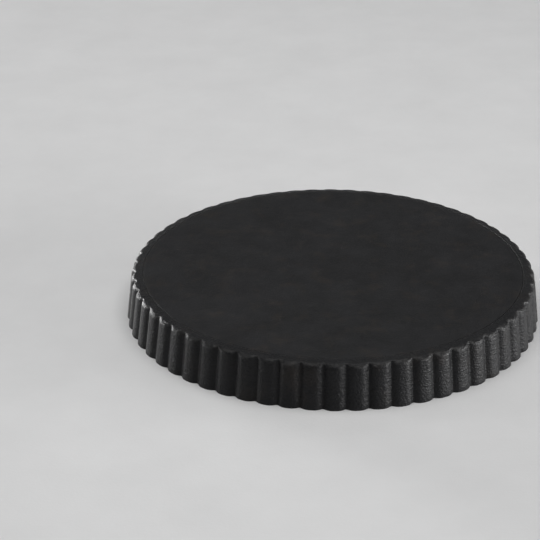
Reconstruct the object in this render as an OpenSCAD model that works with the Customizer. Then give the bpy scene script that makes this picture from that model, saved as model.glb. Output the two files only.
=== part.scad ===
// Fluted tart pan, standing upside down on its rim.
// Two pieces: a pressed ring with a fluted wall and a turned-in shoulder, and a loose
// flat base that seats against the inside of the shoulder and fills its round hole.
// Millimetres. The origin is the middle of the rim's plane, and +Z is the pan's axis,
// pointing from the rim to the base. Flute crests lie on the X and Y axes.

/* [Pan] */
// Diameter over the flute crests at the rim
rim_d = 280; // [220:5:320]
// Height from the rim's plane to the inner lip of the shoulder
pan_h = 31; // [24:0.5:40]
// Lean of the wall from upright, in degrees
wall_draft = 7.2; // [4:0.2:10]
// Thickness of the pressed steel sheet
sheet = 0.8; // [0.5:0.1:1]

/* [Flutes] */
// Number of flutes round the pan
flutes = 60; // [48:4:72]
// Depth of a flute at the rim
rim_flute_depth = 2.2; // [1.5:0.1:3.5]
// Depth of a flute at the knuckle
knuckle_flute_depth = 2.5; // [1.5:0.1:3.5]
// Flatness of a flute's crest: 2 is a plain arch, more is broader with steeper sides
crest_flatness = 2.9; // [2:0.1:5]
// How round the bottom of a valley is, in parts of half a flute
valley_softness = 0.14; // [0.05:0.01:0.3]

/* [Shoulder] */
// Width of the shoulder, from the line of the wall's crests to the hole
shoulder_w = 7.4; // [6.5:0.1:10]
// Slope of the shoulder, in degrees
shoulder_slope = 7.5; // [0:0.5:12]
// Outside radius of the knuckle between wall and shoulder, on a crest
crest_knuckle_r = 3.6; // [2:0.1:4.2]
// Outside radius of the knuckle in a valley
valley_knuckle_r = 1.2; // [1.1:0.1:1.6]

/* [Base] */
// Gap round the base's panel, inside the hole
panel_gap = 0.3; // [0.2:0.05:0.6]
// How far the panel lies below the shoulder's lip
panel_drop = 0.1; // [0:0.05:0.3]
// Gap between the base's edge and the valleys of the flutes, at its seat
edge_gap = 1.2; // [1.1:0.1:1.5]
// Gap between the seat and the inside of the shoulder
seat_gap = 0.05; // [0.02:0.01:0.2]

/* [Hidden] */
coating = [0.15, 0.15, 0.16];
base_coating = [0.19, 0.19, 0.2];

rim_r = rim_d / 2;
crest_top_r = rim_r - pan_h * tan(wall_draft);
hole_r = crest_top_r - shoulder_w;
panel_r = hole_r - panel_gap;
base_r = crest_top_r - knuckle_flute_depth - sheet - edge_gap;

// Places along one flute, in parts of its pitch, closer together on its steep sides
flute_steps = [0, 0.25, 0.42, 0.5, 0.58, 0.75];
// Angles of the points round the knuckle, from the wall to the shoulder
knuckle_turns = [0, 30, 60, 90];
section_points = 4 + 2 * len(knuckle_turns);

// How far out a flute stands at a place along its pitch: 1 on the crest, 0 in the valley
function lobe(place) =
    let(
        from_valley = 2 * abs(place - floor(place) - 0.5),
        rounded = norm([from_valley, valley_softness]) - valley_softness,
        rise = rounded / (norm([1, valley_softness]) - valley_softness)
    )
    1 - pow(1 - rise, crest_flatness);

// Radius of the wall's outer face at a height, where a flute stands out that far
function wall_r(out, z) =
    let(depth = rim_flute_depth + (knuckle_flute_depth - rim_flute_depth) * z / pan_h)
    rim_r - z * tan(wall_draft) - depth * (1 - out);

// Height of the shoulder's outer face at a radius
function shoulder_z(r) = pan_h - (r - hole_r) * tan(shoulder_slope);

// Closed section of the ring's sheet where a flute stands out that far, from the rim's
// outer edge up the wall, over the knuckle, in to the hole, and back along the inside
function ring_section(out) =
    let(
        knuckle_r = valley_knuckle_r + (crest_knuckle_r - valley_knuckle_r) * out,
        bend_r = wall_r(out, pan_h - knuckle_r) - knuckle_r,
        bend_z = shoulder_z(bend_r) - knuckle_r,
        last = len(knuckle_turns) - 1
    )
    [
        [wall_r(out, 0), 0],
        for (turn = knuckle_turns) [bend_r, bend_z] + knuckle_r * [cos(turn), sin(turn)],
        [hole_r, pan_h],
        [hole_r, pan_h - sheet],
        for (i = [last : -1 : 0])
            [bend_r, bend_z] + (knuckle_r - sheet) * [cos(knuckle_turns[i]), sin(knuckle_turns[i])],
        [wall_r(out, 0) - sheet, 0]
    ];

module fluted_ring() {
    places = [for (flute = [0 : flutes - 1], step = flute_steps) flute + step];
    count = len(places);
    points = [
        for (place = places, p = ring_section(lobe(place)))
            let(turn = 360 * place / flutes)
            [p[0] * cos(turn), p[0] * sin(turn), p[1]]
    ];
    faces = [
        for (i = [0 : count - 1], j = [0 : section_points - 1])
            let(
                a = i * section_points + j,
                b = i * section_points + (j + 1) % section_points,
                c = ((i + 1) % count) * section_points + (j + 1) % section_points,
                d = ((i + 1) % count) * section_points + j
            )
            each [[a, b, c], [a, c, d]]
    ];
    color(coating) polyhedron(points = points, faces = faces);
}

module lift_out_base() {
    panel_z = pan_h - panel_drop;
    bend_r = panel_r - sheet;
    // Upper face of the seat at a radius, just clear of the shoulder's inner face
    function seat_z(r) = shoulder_z(r) - sheet - seat_gap;
    color(base_coating) rotate_extrude($fn = 180) polygon([
        [0, panel_z],
        [panel_r - sheet / 2, panel_z],
        [panel_r, panel_z - sheet / 2],
        [panel_r, seat_z(panel_r)],
        [base_r, seat_z(base_r)],
        [base_r, seat_z(base_r) - sheet],
        [bend_r, seat_z(bend_r) - sheet],
        [bend_r, panel_z - sheet],
        [0, panel_z - sheet]
    ]);
}

fluted_ring();
lift_out_base();
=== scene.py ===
"""Looks of a fluted tart pan that stands upside down on its rim.

Two pieces replace the plain CAD solids and keep their sizes: the pressed ring, with smooth
flutes, a rounded knuckle and a rounded cut edge, and the loose base in the ring's shoulder.
Both carry a black non-stick coating made of shader nodes. Everything is in metres, with the
rim's plane at z = 0 and the pan's axis along +Z.
"""

import math
import random

import bpy
import numpy as np
from mathutils import Matrix, Vector


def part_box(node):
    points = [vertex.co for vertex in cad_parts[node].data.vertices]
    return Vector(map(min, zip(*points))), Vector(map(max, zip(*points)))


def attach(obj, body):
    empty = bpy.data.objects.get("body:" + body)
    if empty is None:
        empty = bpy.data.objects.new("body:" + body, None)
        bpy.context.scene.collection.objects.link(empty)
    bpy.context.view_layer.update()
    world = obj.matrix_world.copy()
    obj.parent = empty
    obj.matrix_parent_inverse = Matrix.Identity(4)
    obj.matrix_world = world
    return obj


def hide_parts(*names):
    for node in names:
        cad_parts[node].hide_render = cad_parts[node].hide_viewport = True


MM = 0.001

# The pressed ring
SHEET = 0.8 * MM
FLUTES = 60
RIM_FLUTE_DEPTH = 2.2 * MM
KNUCKLE_FLUTE_DEPTH = 2.5 * MM
CREST_FLATNESS = 2.9
VALLEY_SOFTNESS = 0.14
WALL_DRAFT = math.radians(7.2)
SHOULDER_SLOPE = math.radians(7.5)
SHOULDER_WIDTH = 7.4 * MM
CREST_KNUCKLE = 3.6 * MM
VALLEY_KNUCKLE = 1.2 * MM
EDGE_ROUNDING = 0.22 * MM

# How uneven the pressing is: waves round the pan in the flutes' depth, and dents in the rim
DEPTH_WAVES = (7, 13, 22, 31)
DEPTH_UNEVENNESS = 0.05
DENT_WAVES = (2, 3, 5, 9)
DENT = 0.25 * MM
RING_SEED = 5

# The loose base
PANEL_GAP = 0.3 * MM
SEAT_GAP = 0.05 * MM
PANEL_ROUNDING = 0.25 * MM
BEND_ROUNDING = 0.3 * MM
SEAT_ROUNDING = 0.25 * MM
PANEL_WAVE = 0.12 * MM
WAVE_COUNT = 7
WAVE_LENGTHS = (55 * MM, 150 * MM)
PANEL_SEED = 11

# Parts of the panel's radius: up to the first its waves are whole, and from the second they are
# gone. The flat rings of its mesh end at the third.
WAVES_WHOLE = 0.72
WAVES_GONE = 0.97
LAST_PANEL_RING = 0.985

# How finely the meshes are cut
STEPS_PER_FLUTE = 26
VALLEY_CROWDING = 0.55
WALL_STEPS = 8
KNUCKLE_STEPS = 10
SHOULDER_STEPS = 7
BASE_STEPS = 360
PANEL_RINGS = 48
ARC_STEPS = 6

# The middle point of a rounded cut edge, in parts of its rounding from each of the two faces
EDGE_MIDDLE = 0.27

# Colours of the coating's stains, of steel rubbed through on the folds, and of the cut edges
BAKED_FILM = (0.06, 0.042, 0.026, 1)
RUBBED_STEEL = (0.075, 0.073, 0.07, 1)
CUT_STEEL = (0.06, 0.058, 0.056, 1)
COATING_IOR = 1.30

# The floor: a square sheet whose far part curves up
FLOOR_REACH = 3.0
FLOOR_ROWS = 24
FLOOR_RISE_FROM = 1.8
FLOOR_RISE = 0.4

# The lights at the sides stand low and far away, and the other two high and nearer, in a dim sky
SIDE_ELEVATION = 4.5
SIDE_DISTANCE = 3.2
SIDE_HEIGHT = 0.4
HIGH_DISTANCE = 1.6
WORLD_COLOUR = (0.9, 0.93, 1.0, 1)
WORLD_STRENGTH = 0.08

# The camera
CAMERA_ELEVATION = math.radians(26.04)
CAMERA_TURN = math.radians(1.1)
CAMERA_DISTANCE = 1.344
CAMERA_AIM = Vector((-0.0425, 0.0594, 0.0))
CAMERA_LENS = 125.5
CAMERA_CLIP = (0.05, 20)


# ---------------------------------------------------------------- shape helpers


def uneven(turn, waves, rng):
    """Smooth closed wobble round the pan, mostly within -1 to 1: a sum of sines at those waves a turn."""
    total = np.zeros_like(turn)
    for count in waves:
        total += math.cos(rng.uniform(0, math.tau)) * np.cos(count * turn)
        total += math.sin(rng.uniform(0, math.tau)) * np.sin(count * turn)
    return total / math.sqrt(len(waves))


def flute_places():
    """Places round the ring, in flutes, cut more finely in the narrow valleys than on the crests."""
    even = np.arange(FLUTES * STEPS_PER_FLUTE) / STEPS_PER_FLUTE
    return even + VALLEY_CROWDING * np.sin(math.tau * even) / math.tau


def lobe(place):
    """How far out a flute stands: 1 on its broad flat crest, and 0 in its slightly rounded valley."""
    from_valley = 2 * np.abs(place % 1 - 0.5)
    rounded = np.hypot(from_valley, VALLEY_SOFTNESS) - VALLEY_SOFTNESS
    rise = rounded / (math.hypot(1, VALLEY_SOFTNESS) - VALLEY_SOFTNESS)
    return 1 - (1 - rise) ** CREST_FLATNESS


def grid_faces(rows, columns):
    """Quads of a grid that closes on itself both ways: rows round the section, columns round the pan."""
    row = np.arange(rows)[:, None]
    column = np.arange(columns)[None, :]
    here = row * columns
    below = (row + 1) % rows * columns
    after = (column + 1) % columns
    corners = (here + column, here + after, below + after, below + column)
    return np.stack(np.broadcast_arrays(*corners), -1).reshape(-1, 4).tolist()


def mesh_piece(name, points, faces, measures):
    """A smooth-shaded mesh object with named per-vertex numbers for its material."""
    mesh = bpy.data.meshes.new(name)
    mesh.from_pydata(points.tolist(), [], faces)
    mesh.validate()
    mesh.shade_smooth()
    for key, values in measures.items():
        layer = mesh.attributes.new(key, "FLOAT", "POINT")
        layer.data.foreach_set("value", np.asarray(values, np.float32).ravel())
    piece = bpy.data.objects.new(name, mesh)
    bpy.context.scene.collection.objects.link(piece)
    return piece


# ---------------------------------------------------------------- the pressed ring


def pan_sizes():
    """Radii and heights of both pieces, from the CAD boxes and the sizes at the top."""
    _, ring_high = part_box("fluted_ring")
    _, base_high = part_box("lift_out_base")
    crest_top = ring_high.x - ring_high.z * math.tan(WALL_DRAFT)
    hole = crest_top - SHOULDER_WIDTH
    return {
        "rim": ring_high.x,
        "height": ring_high.z,
        "crest_top": crest_top,
        "hole": hole,
        "panel": hole - PANEL_GAP,
        "panel_top": base_high.z,
        "base": base_high.x,
    }


def shoulder_height(size, radius):
    """Height of the shoulder's outer face at a radius."""
    return size["height"] - (radius - size["hole"]) * math.tan(SHOULDER_SLOPE)


def ring_section(size, rim, top, knuckle_radius):
    """Outer face at each column: a list of (radius, height, depth into the sheet, fold).

    rim and top are the wall's radii at the rim and at the pan's full height. The section runs from
    the cut edge at the rim, up the wall, round the knuckle as an arc that meets wall and shoulder
    smoothly, and in to the cut edge of the hole. fold is 1 at the middle of the knuckle, and 0 off it.
    """
    slope = math.tan(SHOULDER_SLOPE)
    lean = (top - rim) / size["height"]
    corner_z = (size["height"] - (rim - size["hole"]) * slope) / (1 + lean * slope)
    corner_r = rim + lean * corner_z
    wall_normal = np.arctan2(-lean, 1)
    shoulder_normal = math.atan2(1, slope)
    reach = knuckle_radius * np.tan((shoulder_normal - wall_normal) / 2)
    start_r = corner_r + reach * np.sin(wall_normal)
    start_z = corner_z - reach * np.cos(wall_normal)
    centre_r = start_r - knuckle_radius * np.cos(wall_normal)
    centre_z = start_z - knuckle_radius * np.sin(wall_normal)
    edge_middle = EDGE_MIDDLE * EDGE_ROUNDING

    rows = []
    for height, depth in ((0, EDGE_ROUNDING), (edge_middle, edge_middle)):
        rows.append((rim + lean * height, height + 0 * rim, depth, 0))
    for part in np.linspace(0, 1, WALL_STEPS, endpoint=False):
        height = EDGE_ROUNDING + part * (start_z - EDGE_ROUNDING)
        rows.append((rim + lean * height, height, 0, 0))
    for part in np.linspace(0, 1, KNUCKLE_STEPS):
        angle = wall_normal + part * (shoulder_normal - wall_normal)
        radius = centre_r + knuckle_radius * np.cos(angle)
        height = centre_z + knuckle_radius * np.sin(angle)
        rows.append((radius, height, 0, math.sin(math.pi * part)))
    inner = rows[-1][0]
    for part in np.linspace(0, 1, SHOULDER_STEPS)[1:]:
        radius = inner + part * (size["hole"] + EDGE_ROUNDING - inner)
        rows.append((radius, shoulder_height(size, radius), 0, 0))
    for inset, depth in ((edge_middle, edge_middle), (0, EDGE_ROUNDING)):
        radius = size["hole"] + inset + 0 * rim
        rows.append((radius, shoulder_height(size, radius), depth, 0))
    return rows


def face_normals(grid):
    """Outward unit normals of a grid of points, rows from rim to hole and columns round the pan."""
    across = np.roll(grid, -1, 1) - np.roll(grid, 1, 1)
    along = np.gradient(grid, axis=0)
    normal = np.cross(across, along)
    return normal / np.linalg.norm(normal, axis=2, keepdims=True)


def make_ring(size):
    """The pressed ring as one closed sheet of even thickness."""
    rng = random.Random(RING_SEED)
    place = flute_places()
    turn = math.tau * place / FLUTES
    out = lobe(place)
    depth_share = 1 + DEPTH_UNEVENNESS * uneven(turn, DEPTH_WAVES, rng)
    dent = DENT * (1 + uneven(turn, DENT_WAVES, rng)) / 2
    rim = size["rim"] - RIM_FLUTE_DEPTH * depth_share * (1 - out) - dent.clip(0)
    top = size["crest_top"] - KNUCKLE_FLUTE_DEPTH * depth_share * (1 - out)

    # The knuckle is rounder on the crests, and as round across the steep sides of a flute as along it
    steepness = np.gradient(top, turn) / top
    level_radius = VALLEY_KNUCKLE + (CREST_KNUCKLE - VALLEY_KNUCKLE) * out
    rows = ring_section(size, rim, top, level_radius * np.sqrt(1 + steepness**2))

    # The outer face, and the inner face one sheet behind it
    radius = np.stack([row[0] for row in rows])
    height = np.stack([row[1] for row in rows])
    outer = np.stack([radius * np.cos(turn), radius * np.sin(turn), height], -1)
    normal = face_normals(outer)
    depth = np.array([row[2] for row in rows])[:, None, None]
    front = outer - depth * normal
    back = outer - (SHEET - depth) * normal
    grid = np.concatenate([front, back[::-1]])
    grid[:, :, 2] = grid[:, :, 2].clip(0, size["height"])

    columns = len(turn)
    fold = np.array([row[3] for row in rows])[:, None] * np.ones((1, columns))
    cut = np.array([1.0 if row[2] else 0.0 for row in rows])[:, None] * np.ones((1, columns))
    measures = {
        "fold": np.concatenate([fold, np.zeros_like(fold)]),
        "cut_edge": np.concatenate([cut, cut[::-1]]),
    }
    return mesh_piece("ring_pressing", grid.reshape(-1, 3), grid_faces(len(grid), columns), measures)


# ---------------------------------------------------------------- the loose base


def base_outline(size):
    """Half section of the base, as (radius, height), from the middle of its top to that of its underside."""

    def seat(radius):
        return shoulder_height(size, radius) - SHEET - SEAT_GAP

    def arc(radius, height, rounding, first, last):
        angles = np.radians(np.linspace(first, last, ARC_STEPS))
        return [(radius + rounding * math.cos(a), height + rounding * math.sin(a)) for a in angles]

    top, panel = size["panel_top"], size["panel"]
    edge = size["base"] - SEAT_ROUNDING
    bend = panel - SHEET
    under = seat(bend) - SHEET
    outline = [(panel * part, top) for part in np.linspace(0, LAST_PANEL_RING, PANEL_RINGS)]
    outline += arc(panel - PANEL_ROUNDING, top - PANEL_ROUNDING, PANEL_ROUNDING, 90, 0)
    outline += [(panel, seat(panel) + SEAT_GAP), (panel + SEAT_GAP, seat(panel + SEAT_GAP))]
    outline += arc(edge, seat(edge) - SEAT_ROUNDING, SEAT_ROUNDING, 90, 0)
    outline += arc(edge, seat(edge) - SHEET + SEAT_ROUNDING, SEAT_ROUNDING, 0, -90)
    outline += [(bend + BEND_ROUNDING, under), (bend, under + BEND_ROUNDING)]
    outline += [(bend - BEND_ROUNDING, top - SHEET)]
    outline += [(bend * part, top - SHEET) for part in np.linspace(LAST_PANEL_RING, 0, PANEL_RINGS // 2)]
    return outline


def panel_waves(x, y):
    """How far the rolled sheet dips below flat at each place, as the waves of a few long sines."""
    rng = random.Random(PANEL_SEED)
    total = 0 * x
    for _ in range(WAVE_COUNT):
        length = rng.uniform(*WAVE_LENGTHS)
        heading = rng.uniform(0, math.tau)
        phase = rng.uniform(0, math.tau)
        along = x * math.cos(heading) + y * math.sin(heading)
        total = total + np.sin(along * math.tau / length + phase)
    return PANEL_WAVE * (total / WAVE_COUNT - 1) / 2


def turned_faces(ring_count):
    """Faces of a turned solid: quads between its rings, and fans to the top and the under middle point."""
    faces = []
    step = np.arange(BASE_STEPS)
    after = (step + 1) % BASE_STEPS
    last = (ring_count - 1) * BASE_STEPS
    for low in range(0, last, BASE_STEPS):
        high = low + BASE_STEPS
        faces += np.stack([low + step, high + step, high + after, low + after], -1).tolist()
    top_middle = ring_count * BASE_STEPS
    under_middle = top_middle + 1
    faces += np.stack([top_middle + 0 * step, step, after], -1).tolist()
    faces += np.stack([under_middle + 0 * step, last + after, last + step], -1).tolist()
    return faces


def make_base(size):
    """The loose base as a turned sheet with a panel that is very slightly wavy, as rolled sheet is."""
    outline = base_outline(size)
    turn = np.arange(BASE_STEPS) * math.tau / BASE_STEPS
    radius, height = np.array(outline[1:-1]).T[:, :, None]
    x, y = radius * np.cos(turn), radius * np.sin(turn)
    fade = np.clip((WAVES_GONE - radius / size["panel"]) / (WAVES_GONE - WAVES_WHOLE), 0, 1)
    dip = panel_waves(x, y) * fade * fade * (3 - 2 * fade)
    rings = np.stack([x, y, height + dip], -1)
    middle_dip = float(panel_waves(0, 0))
    middles = [[0, 0, outline[0][1] + middle_dip], [0, 0, outline[-1][1] + middle_dip]]
    points = np.concatenate([rings.reshape(-1, 3), middles])

    from_centre = np.hypot(points[:, 0], points[:, 1])
    on_bend = 1 - np.abs(from_centre - size["panel"]) / (2 * PANEL_ROUNDING)
    on_edge = 1 - (size["base"] - from_centre) / (2 * SEAT_ROUNDING)
    measures = {"fold": on_bend.clip(0, 1), "cut_edge": on_edge.clip(0, 1)}
    return mesh_piece("base_plate", points, turned_faces(len(rings)), measures)


# ---------------------------------------------------------------- materials


class Shader:
    """One material's node tree. Each call adds a node, sets or links its sockets and gives its output."""

    def __init__(self, name):
        self.material = bpy.data.materials.new(name)
        self.material.use_nodes = True
        self.tree = self.material.node_tree
        self.tree.nodes.clear()

    def feed(self, socket, value):
        """Link the socket to another node's output, or set it to a plain value."""
        if isinstance(value, bpy.types.NodeSocket):
            self.tree.links.new(value, socket)
        else:
            socket.default_value = value

    def add(self, kind, output=0, settings=None, **sockets):
        node = self.tree.nodes.new("ShaderNode" + kind)
        for key, value in (settings or {}).items():
            setattr(node, key, value)
        for key, value in sockets.items():
            self.feed(node.inputs[key.replace("_", " ")], value)
        return node.outputs[output]

    def noise(self, place, feature, detail=2.0, roughness=0.5):
        """Noise whose lumps are about feature metres across."""
        return self.add("TexNoise", Vector=place, Scale=1 / feature, Detail=detail, Roughness=roughness)

    def place(self):
        """The point on the piece, in its own coordinates."""
        return self.add("TexCoord", output=3)

    def measure(self, name):
        """A per-vertex number of the mesh."""
        return self.add("Attribute", output=2, settings={"attribute_name": name})

    def between(self, value, low, high, to_low, to_high):
        """value mapped from low..high to to_low..to_high, and clamped."""
        return self.add(
            "MapRange", Value=value, From_Min=low, From_Max=high, To_Min=to_low, To_Max=to_high
        )

    def math(self, operation, first, second):
        node = self.tree.nodes.new("ShaderNodeMath")
        node.operation = operation
        self.feed(node.inputs[0], first)
        self.feed(node.inputs[1], second)
        return node.outputs[0]

    def blend(self, part, first, second):
        """Colour that goes from first to second as part goes from 0 to 1."""
        node = self.tree.nodes.new("ShaderNodeMix")
        node.data_type = "RGBA"
        # Of the node's sockets, 0 is its factor, and 6 and 7 are its two colours
        self.feed(node.inputs[0], part)
        self.feed(node.inputs[6], first)
        self.feed(node.inputs[7], second)
        return node.outputs[2]

    def bump(self, height, depth, under=None):
        """Surface lifted by height, 0 to 1, times depth metres."""
        sockets = {"Height": height, "Distance": depth, "Strength": 1.0}
        if under is not None:
            sockets["Normal"] = under
        return self.add("Bump", **sockets)

    def finish(self, **sockets):
        """The shader itself, joined to the material's output."""
        shader = self.add("BsdfPrincipled", **sockets)
        output = self.tree.nodes.new("ShaderNodeOutputMaterial")
        self.tree.links.new(shader, output.inputs["Surface"])
        return self.material


def coating_colour(s, place, specks, dark, light, film):
    """Colour of the coating: specked and patchy, with baked-on film, rubbed folds and bare cut edges."""
    patches = s.noise(place, 22 * MM, detail=4, roughness=0.6)
    mottle = s.math("ADD", s.math("MULTIPLY", specks, 0.55), s.math("MULTIPLY", patches, 0.45))
    colour = s.blend(s.between(mottle, 0.38, 0.64, 0, 1), dark, light)

    stain = s.between(s.noise(place, 16 * MM, detail=5, roughness=0.65), 0.52, 0.75, 0, film)
    colour = s.blend(stain, colour, BAKED_FILM)

    wear = s.between(s.noise(place, 5 * MM, detail=4), 0.45, 0.7, 0, 0.35)
    colour = s.blend(s.math("MULTIPLY", s.measure("fold"), wear), colour, RUBBED_STEEL)
    return s.blend(s.math("MULTIPLY", s.measure("cut_edge"), 0.5), colour, CUT_STEEL)


def coating_skin(s, place, grain):
    """Normals of the coating: orange peel, fine grain, and forming marks that run round the pan."""
    stretched = s.add("Mapping", Vector=place, Scale=(0.2, 0.2, 1.0))
    skin = s.bump(s.noise(place, 1.3 * MM, detail=3), 0.15 * MM * grain)
    skin = s.bump(s.noise(place, 0.5 * MM, detail=2), 0.015 * MM * grain, skin)
    return s.bump(s.noise(stretched, 1.0 * MM, detail=3), 0.11 * MM * grain, skin)


def coating(name, dark, light, film, grain, gloss):
    """Black non-stick coating: specks, an orange-peel skin, faint forming marks and a baked-on film.

    film is how much of the film its stains show, and grain how strongly the skin stands out. gloss is
    the roughness in the middle of its smears: about 0.4 is satin, and 0.6 is a worn matt face.
    """
    s = Shader(name)
    place = s.place()
    specks = s.noise(place, 1.0 * MM, detail=4, roughness=0.6)
    smear = s.noise(place, 30 * MM, detail=5, roughness=0.7)
    roughness = s.between(smear, 0.3, 0.7, gloss - 0.08, gloss + 0.08)
    roughness = s.math("ADD", roughness, s.between(specks, 0.35, 0.65, -0.09, 0.09))
    return s.finish(
        Base_Color=coating_colour(s, place, specks, dark, light, film),
        Roughness=roughness,
        Normal=coating_skin(s, place, grain),
        IOR=COATING_IOR,
    )


def ring_coating():
    """Satin black with a clear grain."""
    dark = (0.003, 0.003, 0.0034, 1)
    light = (0.009, 0.009, 0.010, 1)
    return coating("ring_coating", dark, light, film=0.10, grain=3.0, gloss=0.44)


def base_coating():
    """Worn matt black with more baked-on film and a faint grain."""
    dark = (0.004, 0.004, 0.0044, 1)
    light = (0.014, 0.014, 0.0152, 1)
    return coating("base_coating", dark, light, film=0.20, grain=1.0, gloss=0.62)


def floor_material():
    """Matt off-white board with the faintest mottling."""
    s = Shader("pale_floor")
    place = s.place()
    tone = s.between(s.noise(place, 60 * MM, detail=6, roughness=0.6), 0.3, 0.7, 0, 1)
    colour = s.blend(tone, (0.69, 0.688, 0.685, 1), (0.73, 0.728, 0.725, 1))
    grain = s.bump(s.noise(place, 2 * MM, detail=3), 0.05 * MM)
    return s.finish(Base_Color=colour, Roughness=0.9, Specular_IOR_Level=0.1, Normal=grain)


# ---------------------------------------------------------------- studio


def make_floor():
    """A wide pale sheet under the pan, gently turned up far behind it."""
    points, faces = [], []
    for row in range(FLOOR_ROWS + 1):
        y = -FLOOR_REACH + 2 * FLOOR_REACH * row / FLOOR_ROWS
        rise = max(0.0, y - FLOOR_RISE_FROM) ** 2 * FLOOR_RISE
        points += [(-FLOOR_REACH, y, rise), (FLOOR_REACH, y, rise)]
    for row in range(FLOOR_ROWS):
        faces.append((2 * row, 2 * row + 1, 2 * row + 3, 2 * row + 2))
    mesh = bpy.data.meshes.new("floor")
    mesh.from_pydata(points, [], faces)
    mesh.shade_smooth()
    mesh.materials.append(floor_material())
    floor = bpy.data.objects.new("floor", mesh)
    bpy.context.scene.collection.objects.link(floor)


def soft_light(name, azimuth, elevation, distance, size, power):
    """A soft box that faces the pan. Azimuth 0 is behind the camera, and 90 is on the right."""
    a, e = math.radians(azimuth), math.radians(elevation)
    away = Vector((math.sin(a) * math.cos(e), -math.cos(a) * math.cos(e), math.sin(e)))
    data = bpy.data.lights.new(name, "AREA")
    data.shape = "RECTANGLE"
    data.size, data.size_y = size
    data.energy = power
    light = bpy.data.objects.new(name, data)
    light.location = away * distance
    light.rotation_mode = "QUATERNION"
    light.rotation_quaternion = away.to_track_quat("Z", "Y")
    light.visible_camera = False
    bpy.context.scene.collection.objects.link(light)


def side_light(name, azimuth, width, power):
    """A low wide soft box, which draws a light stripe down the side of each flute."""
    soft_light(name, azimuth, SIDE_ELEVATION, SIDE_DISTANCE, (width, SIDE_HEIGHT), power)


def make_studio():
    """One broad light overhead, low ones on both sides, a faint one behind, and a dim even sky."""
    soft_light("overhead", 0, 80, HIGH_DISTANCE, (1.6, 1.6), 19)
    side_light("left_key", -134, 1.2, 115)
    side_light("left_fill", -94, 0.7, 32)
    side_light("right_fill", 52, 0.7, 15)
    side_light("right_key", 82, 2.4, 140)
    soft_light("back_sheen", 168, 42, HIGH_DISTANCE, (1.2, 0.5), 1.4)

    world = bpy.data.worlds.new("studio")
    world.use_nodes = True
    sky = world.node_tree.nodes["Background"]
    sky.inputs["Color"].default_value = WORLD_COLOUR
    sky.inputs["Strength"].default_value = WORLD_STRENGTH
    bpy.context.scene.world = world
    bpy.context.scene.view_settings.view_transform = "Standard"


def make_camera():
    """A long lens that looks down on the pan from in front."""
    data = bpy.data.cameras.new("camera")
    data.lens = CAMERA_LENS
    data.clip_start, data.clip_end = CAMERA_CLIP
    camera = bpy.data.objects.new("camera", data)
    back = Vector((0, -math.cos(CAMERA_ELEVATION), math.sin(CAMERA_ELEVATION)))
    turn = Matrix.Rotation(CAMERA_TURN, 3, "Z")
    camera.location = turn @ (CAMERA_AIM + back * CAMERA_DISTANCE)
    camera.rotation_euler = (math.pi / 2 - CAMERA_ELEVATION, 0, CAMERA_TURN)
    bpy.context.scene.collection.objects.link(camera)
    bpy.context.scene.camera = camera


# ---------------------------------------------------------------- the scene

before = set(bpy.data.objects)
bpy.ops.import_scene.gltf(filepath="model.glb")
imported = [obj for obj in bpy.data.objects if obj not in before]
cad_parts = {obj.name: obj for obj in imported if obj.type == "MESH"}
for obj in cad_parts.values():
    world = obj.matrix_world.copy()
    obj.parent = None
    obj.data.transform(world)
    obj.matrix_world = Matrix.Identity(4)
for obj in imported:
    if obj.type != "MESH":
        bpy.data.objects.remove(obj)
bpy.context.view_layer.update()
pan_size = pan_sizes()

ring = make_ring(pan_size)
ring.data.materials.append(ring_coating())
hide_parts("fluted_ring")
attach(ring, "ring")

base = make_base(pan_size)
base.data.materials.append(base_coating())
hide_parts("lift_out_base")
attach(base, "base")

make_floor()
make_studio()
make_camera()
